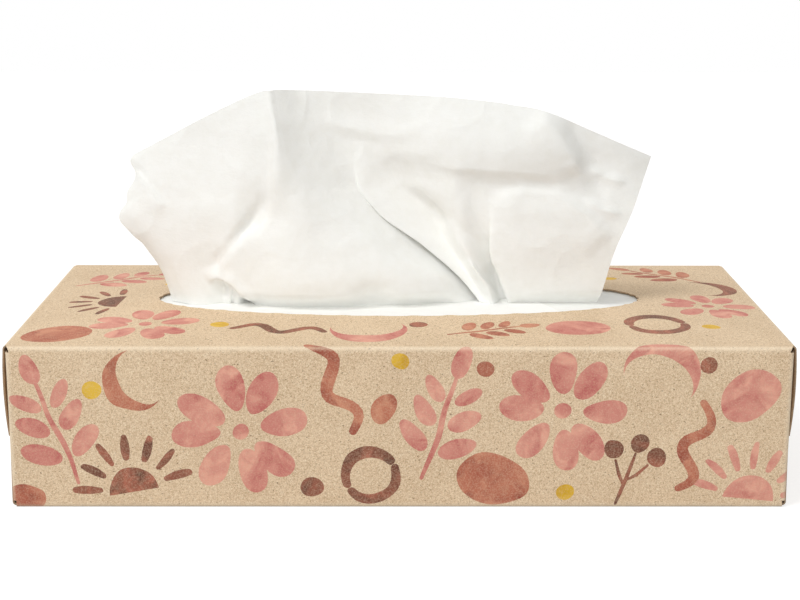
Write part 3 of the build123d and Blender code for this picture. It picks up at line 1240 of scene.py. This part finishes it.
@dataclass
class PulledSheet:
    """The tissue that stands up through the slot, gathered at its foot and free above."""

    carton: Carton
    columns: int = 300
    rows: int = 110
    thickness: float = 0.16
    foot_height: float = 0.62
    held_height: float = 12.0
    nick_heights: tuple[float, ...] = (0, 12, 18, 20.5, 23, 25.5, 28, 30.5, 34, 38, 43.5, 47.5, 50.5)
    nick_shifts: tuple[float, ...] = (0.5, 1.2, 0.5, 0.2, -1.0, -1.4, -2.0, -1.2, 0.5, -1.2, 0.4, -1.2, 0.8)
    nick_reach: float = 7.0
    heights: tuple[float, ...] = (-3.5, 9.5, 20.5, 31.5, 41.5, 53.5, 72.5)
    free_edge: tuple[Point, ...] = (
        *((-93.0, 47.0), (-70.0, 59.6), (-50.0, 69.6), (-45.0, 71.6), (-40.0, 72.0), (-32.4, 71.4)),
        *((13.6, 69.7), (30.0, 68.2), (46.7, 65.2), (67.0, 56.7), (84.2, 48.8), (96.0, 43.6)),
    )

    def fold_lines(self) -> list[list[Point]]:
        """Lists the lines of the folds, from the left edge to the right one.

        Returns:
            For each line, its x and y at each of the heights.
        """
        return [
            [(-75, -2.5), (-80, -2.5), (-86, -2), (-92, -1), (-88, 1), (-88.5, 3.5), (-90, 5.5)],
            [(-71, -5.5), (-76, -5.5), (-81, -5.5), (-85, -4.5), (-82, -3), (-81, -0.5), (-80, 2.5)],
            [(-66, -9), (-70, -8.5), (-74, -8), (-75, -7), (-73, -5.5), (-72, -3), (-71, 0)],
            [(-60, -8.5), (-59.5, -10), (-62, -10), (-62, -10), (-61, -8), (-60, -5.5), (-61, -2.5)],
            [(-56.5, -11.5), (-56.5, -12.5), (-57, -12), (-54, -11.5), (-53, -10), (-50, -8.5), (-51, -5)],
            [(-50, -13), (-51.5, -14.2), (-53, -13), (-45.5, -9.5), (-44, -10.5), (-43, -10), (-45, -6.5)],
            [(-46, -14.5), (-46, -16), (-47, -14), (-40.5, -13), (-40, -13), (-40, -11.8), (-42.5, -7)],
            [(-36, -17), (-36, -19.2), (-36, -17.2), (-32.5, -15), (-34, -12.4), (-37.5, -11), (-40.5, -5.6)],
            [(-22, -17.5), (-22, -19.8), (-22, -16.8), (-24.5, -13), (-30, -10.8), (-34.5, -9), (-38, -4)],
            [(2, -14.5), (0, -16.8), (-7.5, -13.2), (-17, -9.8), (-26, -8.4), (-31, -6.6), (-35.5, -2.2)],
            [(19, -9.5), (13.5, -11.5), (2, -6.6), (-12, -6), (-22.5, -6), (-28, -4.6), (-33, -1)],
            [(29.5, -3), (21, -2.6), (9.2, -0.2), (-7, -2), (-19, -3.6), (-24.5, -2.6), (-30.5, -0.3)],
            [(34, 0), (25.4, 0.5), (13.0, 0.5), (-5, -1.0), (-16.3, -2.0), (-21, -1.0), (-28, 0)],
            [(33.6, -3), (24.4, -2.8), (12.2, -1.5), (-5, -2.0), (-14.4, -1.4), (-17, -0.2), (-24.5, 0)],
            [(30.8, -6.8), (20.6, -7.2), (7.8, -5.8), (-6.3, -3.6), (-12.3, -1.6), (-12, -0.4), (-19, -0.3)],
            [(32, -8.8), (24.2, -6.6), (16.4, -3), (10.5, -0.6), (-0.5, -0.2), (-4, -2.0), (-9, -1.4)],
            [(34, -8.6), (28, -9.6), (21.2, -9.6), (15.8, -6.0), (8.5, -5.2), (8, -7.0), (7, -2.5)],
            [(36, -2.5), (31.5, -4.5), (27, -7), (20, -9.2), (18, -8.8), (18, -9.2), (17, -3.6)],
            [(38.3, -2.5), (34, -4.5), (30, -6.5), (25, -8.5), (24, -8.5), (24, -9.8), (23, -4.1)],
            [(40, -4), (35.7, -5.6), (31.5, -7.6), (29, -9.3), (29, -8.3), (30, -10.2), (29, -3.9)],
            [(38.5, -8.5), (33.8, -10.6), (30.5, -11.2), (33, -10.5), (35, -8.5), (36, -10.4), (35, -3.5)],
            [(46, -8.5), (45, -10.8), (45, -11.6), (47, -10.0), (49, -7.5), (48, -9.4), (48, -1)],
            [(58, -8), (59, -9.8), (61, -9.8), (62, -8), (63, -4.8), (61, -5), (64, 3)],
            [(65.2, -7.5), (68.4, -8.6), (71.8, -8.2), (77, -4.6), (81.1, 1), (85.5, 6.5), (91.5, 12)],
        ]

    def on_line(self, line: list[Point], height: float) -> Vector:
        """Finds the point of a fold line at a height over the flat top of the carton."""
        x, y = (through(self.heights, values, height) for values in zip(*line))
        return Vector((x, y, self.carton.height + height))

    def foot(self, line: list[Point]) -> float:
        """Finds where a fold line meets the sheet below it.

        Args:
            line: The line's x and y at each of the heights.

        Returns:
            The height over the flat top.
        """
        height = self.heights[0]
        for _ in range(5):
            point = self.on_line(line, height)
            height = self.carton.crown_at(point.x, point.y) - self.foot_height
        return height

    def top(self, line: list[Point]) -> float:
        """Finds where a fold line reaches the free edge.

        Args:
            line: The line's x and y at each of the heights.

        Returns:
            The height over the flat top.
        """
        places, values = zip(*self.free_edge)
        low, high = 0.0, self.heights[-1]
        for _ in range(30):
            middle = (low + high) / 2
            if through(places, values, self.on_line(line, middle).x) > middle:
                low = middle
            else:
                high = middle
        return low

    def presses(self) -> list[Press | Swell]:
        """Lists the ridges, valleys and swellings that the fold lines are too coarse for.

        Returns:
            The forms, from the left side to the right one.
        """
        return [
            # the foot tucks in under the puff and under the right panel
            Press(((-66, 1.2), (-40, 1.6), (-5, 1.8), (24, 1.2)), -4.5, 5.5, 8.0, 0.14, 0.3),
            Press(((34, 1.2), (50, 1.2), (72, 1.0)), -3.0, 5.0, 8.0, 0.15, 0.3),
            # ridge below the peak
            Press(((-43, 72), (-40, 62), (-38, 53), (-40, 43), (-44, 32)), 0.6, 8.0, 20.0, 0.3, 0.2),
            # the puff's left side stands over the left panel
            Press(((-43, 36), (-46, 30), (-50, 25), (-55, 19), (-61, 12)), 0.8, 12.0, 3.6, 0.2, 0.3),
            Press(((-45, 36), (-48.5, 29.5), (-53, 23.5), (-58.5, 17), (-64, 11)), -1.0, 2.4, 4.0, 0.25, 0.3),
            # hollows of the pleats at the lower left
            Swell(-57.6, 6.6, 4.4, 3.2, -5.0, -20),
            Swell(-50.6, 1.8, 2.2, 3.6, -4.5, 35),
            Press(((-63, 8.5), (-60.5, 10.8), (-55.8, 9.4), (-52.3, 6), (-48.6, 1.5)), 2.4, 5, 1, 0.15, 0.6),
            Press(((-55.4, 8), (-55.6, 4), (-55.8, -1)), -1.6, 1.6, 0.9, 0.2, 0.5),
            # hollow at the foot of the puff
            Swell(-9, 5.5, 7.0, 6.0, -3.0, 25),
            # crease from the dent of the left edge
            Press(((-88, 45), (-84, 41), (-80, 36), (-76, 33)), 0.9, 1.6, 7.0, 0.2, 0.6),
            # the upper fold and its shade below
            Press(((6, 49), (20, 47), (36, 46), (50, 44.5), (59, 42)), 1.3, 14.0, 2.8, 0.3, 0.4),
            Press(((14, 43.0), (30, 41.5), (46, 40.5), (60, 37)), -0.5, 3.0, 9.0, 0.25, 0.2),
            Press(((44, 66), (52, 58), (57, 50), (58, 43)), 2.2, 5.0, 12.0, 0.2, 0.4),
            Press(((52, 64), (61, 55), (66, 46), (68, 36)), -1.7, 12.0, 7.0, 0.25, 0.2),
            # top edge of the lower right panel
            Press(((31, 36), (40, 39), (52, 38), (62, 31), (70, 22)), 1.2, 4.5, 15.0, 0.12, 0.4),
            # facets at the right corner
            Press(((62, 47), (68, 43), (76, 41)), 1.2, 3.0, 4.0, 0.3, 0.8),
            Press(((60, 37), (67, 33), (75, 31)), 1.0, 2.5, 3.5, 0.3, 0.8),
            # second wedge of the right pleat
            Press(((22.5, 18), (25.5, 13), (29.5, 8.5), (33.5, 3)), 2.2, 1.0, 4.5, 0.25, 0.7),
            # soft waves below the free edge
            Press(((-30, 64), (-18, 59), (-4, 57), (8, 58)), 0.7, 6.0, 4.0, 0.3, 0.3),
            Press(((-8, 54), (4, 51), (14, 51)), 0.5, 5.0, 6.0, 0.3, 0.3),
        ]

    def surface(self) -> list[list[Vector]]:
        """Works out the sheet's middle surface.

        Returns:
            Its points, row by row from the foot up.
        """
        lines = self.fold_lines()
        spans = [(line, self.foot(line), self.top(line)) for line in lines]
        grid = []
        for i in range(self.rows):
            part = i / (self.rows - 1)
            row = [self.on_line(line, low + (high - low) * part) for line, low, high in spans]
            grid.append(self.resampled(row))
        forms = self.presses()
        for row in grid:
            shift = through(self.nick_heights, self.nick_shifts, row[0].z - self.carton.height)
            for column, point in enumerate(row):
                point.x += shift * math.exp(-column / self.nick_reach)
                height = point.z - self.carton.height
                point.y -= sum(form.at(point.x, height) for form in forms)
        return grid

    def resampled(self, row: list[Vector]) -> list[Vector]:
        """Lays evenly numbered points on a smooth curve through a row's points.

        Args:
            row: One point for each fold line.

        Returns:
            The points of the finer row.
        """
        padded = [row[0] * 2 - row[1]] + row + [row[-1] * 2 - row[-2]]
        fine = []
        last = len(row) - 1
        for j in range(self.columns):
            place = last * j / (self.columns - 1)
            k = min(int(place), last - 1)
            t = place - k
            a, b, c, d = padded[k : k + 4]
            squared = (2 * a - 5 * b + 4 * c - d) * t * t
            cubed = (3 * b - a - 3 * c + d) * t**3
            fine.append(0.5 * (2 * b + (c - a) * t + squared + cubed))
        return fine

    def build(self) -> Piece:
        """Makes the sheet.

        Returns:
            The tissue.
        """
        points = [point for row in self.surface() for point in row]
        piece = sheet_object("pulled_sheet", points, self.columns)
        self.rumple(piece)
        thicken(piece, self.thickness)
        return piece

    def rumple(self, piece: Piece) -> None:
        """Gives the sheet the small dents and creases of handled tissue.

        Args:
            piece: The tissue.
        """
        normals = [vertex.normal.copy() for vertex in piece.data.vertices]
        for vertex, normal in zip(piece.data.vertices, normals):
            place = vertex.co / MM
            height = vertex.co.z - self.carton.height * MM
            free = min(max(height / (self.held_height * MM), 0.0), 1.0)
            broad = noise.noise(place * 0.055)
            ridges = (1 - abs(noise.noise(place * 0.07 + Vector((9.1, 3.3, 5.7))))) ** 7
            fine = noise.noise(place * 0.33 + Vector((1.3, 8.4, 2.6)))
            vertex.co += normal * (free * MM * (0.4 * broad + 0.22 * ridges + 0.08 * fine))
        piece.data.update()

    def dress(self, piece: Piece) -> None:
        """Args:
            piece: The tissue.
        """
        paper = TissuePaper("tissue_pulled")
        put_in_place(piece, [paper.material()], TISSUE_ANGLE, "pulled_tissue")


@dataclass
class NextSheet:
    """The next tissue, which lies on the pack across the front of the slot."""

    carton: Carton
    thickness: float = 0.16
    sunk: float = 0.76
    back: float = 8.0
    front: float = -37.0
    left: tuple[float, float] = (-66.0, -77.0)
    right: tuple[float, float] = (40.0, 61.0)
    columns: int = 120
    rows: int = 44

    def build(self) -> Piece:
        """Makes the sheet.

        Returns:
            The tissue.
        """
        points = []
        for i in range(self.rows):
            part = i / (self.rows - 1)
            y = self.front + (self.back - self.front) * part
            start, end = (near + (far - near) * part for far, near in (self.left, self.right))
            for j in range(self.columns):
                x = start + (end - start) * j / (self.columns - 1)
                level = self.carton.height - self.sunk + self.carton.crown_at(x, y)
                wave = 0.1 * noise.noise(Vector((x * 0.05, y * 0.09, 2.0)))
                points.append(Vector((x, y, level + wave)))
        piece = sheet_object("next_sheet", points, self.columns)
        thicken(piece, self.thickness)
        return piece

    def dress(self, piece: Piece) -> None:
        """Args:
            piece: The tissue.
        """
        # the next sheet gets a whiter copy of the tissue colour: painted light that lifts the shade it lies in
        # below the pulled sheet
        paper = TissuePaper("tissue_next_painted_light", linear(254, 254, 251), linear(250, 250, 246))
        put_in_place(piece, [paper.material()], TISSUE_ANGLE, "next_tissue")


@dataclass
class Pack:
    """The interfolded pack: layers with folded edges at the front and the back and cut edges at the ends."""

    carton: Carton
    length: float = 205.0
    depth: float = 104.0
    clearance: float = 0.9
    layers: int = 11
    bulge: float = 0.45
    rise: float = 0.45
    glue_room: float = 15.0

    def lift_at(self, x: float, y: float) -> float:
        """Finds how far the top sheets stand up, because the card holds them down only round the slot.

        Args:
            x: The place's x.
            y: Its y.

        Returns:
            The rise, in millimetres.
        """
        out = math.hypot(x / (self.carton.slot_length / 2), y / (self.carton.slot_width / 2))
        inside = min(max((1.35 - out) / 0.35, 0.0), 1.0)
        ripple = 0.08 * noise.noise(Vector((x * 0.045, y * 0.11, 5.0)))
        return inside * inside * (3 - 2 * inside) * (self.rise + ripple)

    def build(self) -> Piece:
        """Makes the pack.

        Returns:
            The pack.
        """
        carton = self.carton
        low, flap = carton.card, 2 * carton.card
        top = carton.height - carton.card - self.clearance
        half_x, half_y = self.length / 2, self.depth / 2
        step_y = carton.flat_y - self.glue_room
        across = [half_y * (k / 20) for k in range(-20, 21)]
        across = sorted([y for y in across if abs(y - step_y) > 1.0] + [step_y - 0.05, step_y + 0.05])
        along = [half_x * (k / 44) for k in range(-44, 45)]
        levels = self.layers * 4
        points: list[Vector] = []
        index: dict[tuple[int, int, int], int] = {}
        for (i, x), (j, y) in product(enumerate(along), enumerate(across)):
            bottom = flap if y > step_y else low
            high = top + carton.crown_at(x, y) + self.lift_at(x, y)
            at_end, at_side = i in (0, len(along) - 1), j in (0, len(across) - 1)
            for k in range(levels + 1) if at_end or at_side else (0, levels):
                part = k / levels
                swell = abs(math.sin(math.pi * self.layers * part)) ** 0.5 * self.bulge - self.bulge
                place_x = x + (math.copysign(swell * 0.4, x) if at_end else 0.0)
                place_y = y + (math.copysign(swell, y) if at_side else 0.0)
                index[(i, j, k)] = len(points)
                points.append(Vector((place_x, place_y, bottom + (high - bottom) * part)))
        faces: list[tuple[int, ...]] = []
        sizes = (len(along) - 1, len(across) - 1, levels)
        for axis in range(3):
            u, v = (other for other in range(3) if other != axis)
            for end, p, q in product((0, sizes[axis]), range(sizes[u]), range(sizes[v])):
                corners = []
                for step_u, step_v in ((0, 0), (1, 0), (1, 1), (0, 1)):
                    corner = {axis: end, u: p + step_u, v: q + step_v}
                    corners.append(index[(corner[0], corner[1], corner[2])])
                outwards = bool(end) != (axis == 1)
                faces.append(tuple(corners if outwards else corners[::-1]))
        return mesh_object("tissue_pack", points, faces)

    def dress(self, piece: Piece) -> None:
        """Gives the pack its finish.

        Args:
            piece: The pack.
        """
        paper = TissuePaper("tissue_pack")
        put_in_place(piece, [paper.material()], PACK_ANGLE, "tissue_stack")


# The studio


@dataclass
class Studio:
    """The plain white set, its lamps and the camera."""

    eye: tuple[float, float, float] = (-3.0, -541.5, 182.1)
    down: float = 13.498
    yaw: float = 0.346
    roll: float = -0.128
    lens: float = 74.12
    floor_grey: float = 0.52
    floor_glow: float = 0.62
    room_light: float = 0.445

    def camera(self) -> None:
        """Puts the camera where the photograph was taken."""
        data = bpy.data.cameras.new("camera")
        data.lens = self.lens
        data.sensor_width = 36.0
        data.clip_start = 0.01
        data.clip_end = 20.0
        camera = bpy.data.objects.new("camera", data)
        camera.location = Vector(self.eye) * MM
        turn = Matrix.Rotation(math.radians(-self.yaw), 4, "Z")
        tilt = Matrix.Rotation(math.radians(90 - self.down), 4, "X")
        spin = Matrix.Rotation(math.radians(-self.roll), 4, "Z")
        camera.rotation_euler = (turn @ tilt @ spin).to_euler()
        bpy.context.scene.collection.objects.link(camera)
        bpy.context.scene.camera = camera

    def floor(self) -> None:
        """Lays the white floor, which the camera sees as plain white with a soft shadow."""
        bpy.ops.object.select_all(action="DESELECT")
        bpy.ops.mesh.primitive_plane_add(size=2.6, location=(0.0, 0.0, 0.0))
        floor = bpy.context.object
        floor.name = "floor"
        material, nodes, shader = principled("floor_paper", 0.9)
        shader.inputs["Base Color"].default_value = (*(self.floor_grey,) * 3, 1.0)
        shader.inputs["Emission Strength"].default_value = self.floor_glow
        path = nodes.add("ShaderNodeLightPath")
        nodes.feed(shader.inputs["Emission Color"], path.outputs["Is Camera Ray"])
        floor.data.materials.append(material)

    def world(self) -> None:
        """Fills the room with even light, and shows it as white."""
        world = bpy.data.worlds.new("room")
        bpy.context.scene.world = world
        world.use_nodes = True
        world.node_tree.nodes.clear()
        nodes = Nodes(world.node_tree)
        path = nodes.add("ShaderNodeLightPath")
        lit = nodes.add("ShaderNodeBackground", Color=(1.0, 0.98, 0.94), Strength=self.room_light)
        seen = nodes.add("ShaderNodeBackground", Color=(1.0, 1.0, 1.0), Strength=1.0)
        any_seen = path.outputs["Is Camera Ray"]
        for ray in ("Is Glossy Ray", "Is Transmission Ray"):
            any_seen = nodes.maths("MAXIMUM", any_seen, path.outputs[ray])
        mix = nodes.add("ShaderNodeMixShader", Fac=any_seen)
        for target, source in zip(mix.inputs[1:], (lit, seen)):
            nodes.feed(target, source.outputs[0])
        out = nodes.add("ShaderNodeOutputWorld")
        nodes.feed(out.inputs["Surface"], mix.outputs[0])

    def lamp(self, name: str, place: tuple[float, float, float], size: float, power: float) -> None:
        """Adds one soft lamp that looks at the box.

        Args:
            name: The lamp's name.
            place: Where it stands, in metres.
            size: How wide it is, in metres.
            power: Its power in watts.
        """
        data = bpy.data.lights.new(name, "AREA")
        data.shape = "SQUARE"
        data.size = size
        data.energy = power
        lamp = bpy.data.objects.new(name, data)
        lamp.location = place
        lamp.visible_camera = False
        aim = Vector((0.0, 0.0, 0.06)) - Vector(place)
        lamp.rotation_euler = aim.to_track_quat("-Z", "Y").to_euler()
        bpy.context.scene.collection.objects.link(lamp)

    def build(self) -> None:
        """Sets the whole studio up."""
        self.camera()
        self.floor()
        self.world()
        self.lamp("key", (-1.1, -0.8, 1.9), 0.8, 23.0)
        self.lamp("fill", (-0.15, -1.95, 0.95), 1.0, 14.0)
        self.lamp("back", (0.1, 2.2, 0.75), 1.2, 9.0)
        bpy.context.scene.view_settings.view_transform = "Standard"


def main() -> None:
    """Builds the tissue box and its set."""
    logging.basicConfig(level=logging.INFO, format="%(message)s")
    noise.seed_set(SEED)
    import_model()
    Studio().build()
    carton = Carton()
    for maker in (carton, Pack(carton), NextSheet(carton), PulledSheet(carton)):
        piece = maker.build()
        maker.dress(piece)
        log.info("%s: %d faces", piece.name, len(piece.data.polygons))


if __name__ == "__main__":
    main()
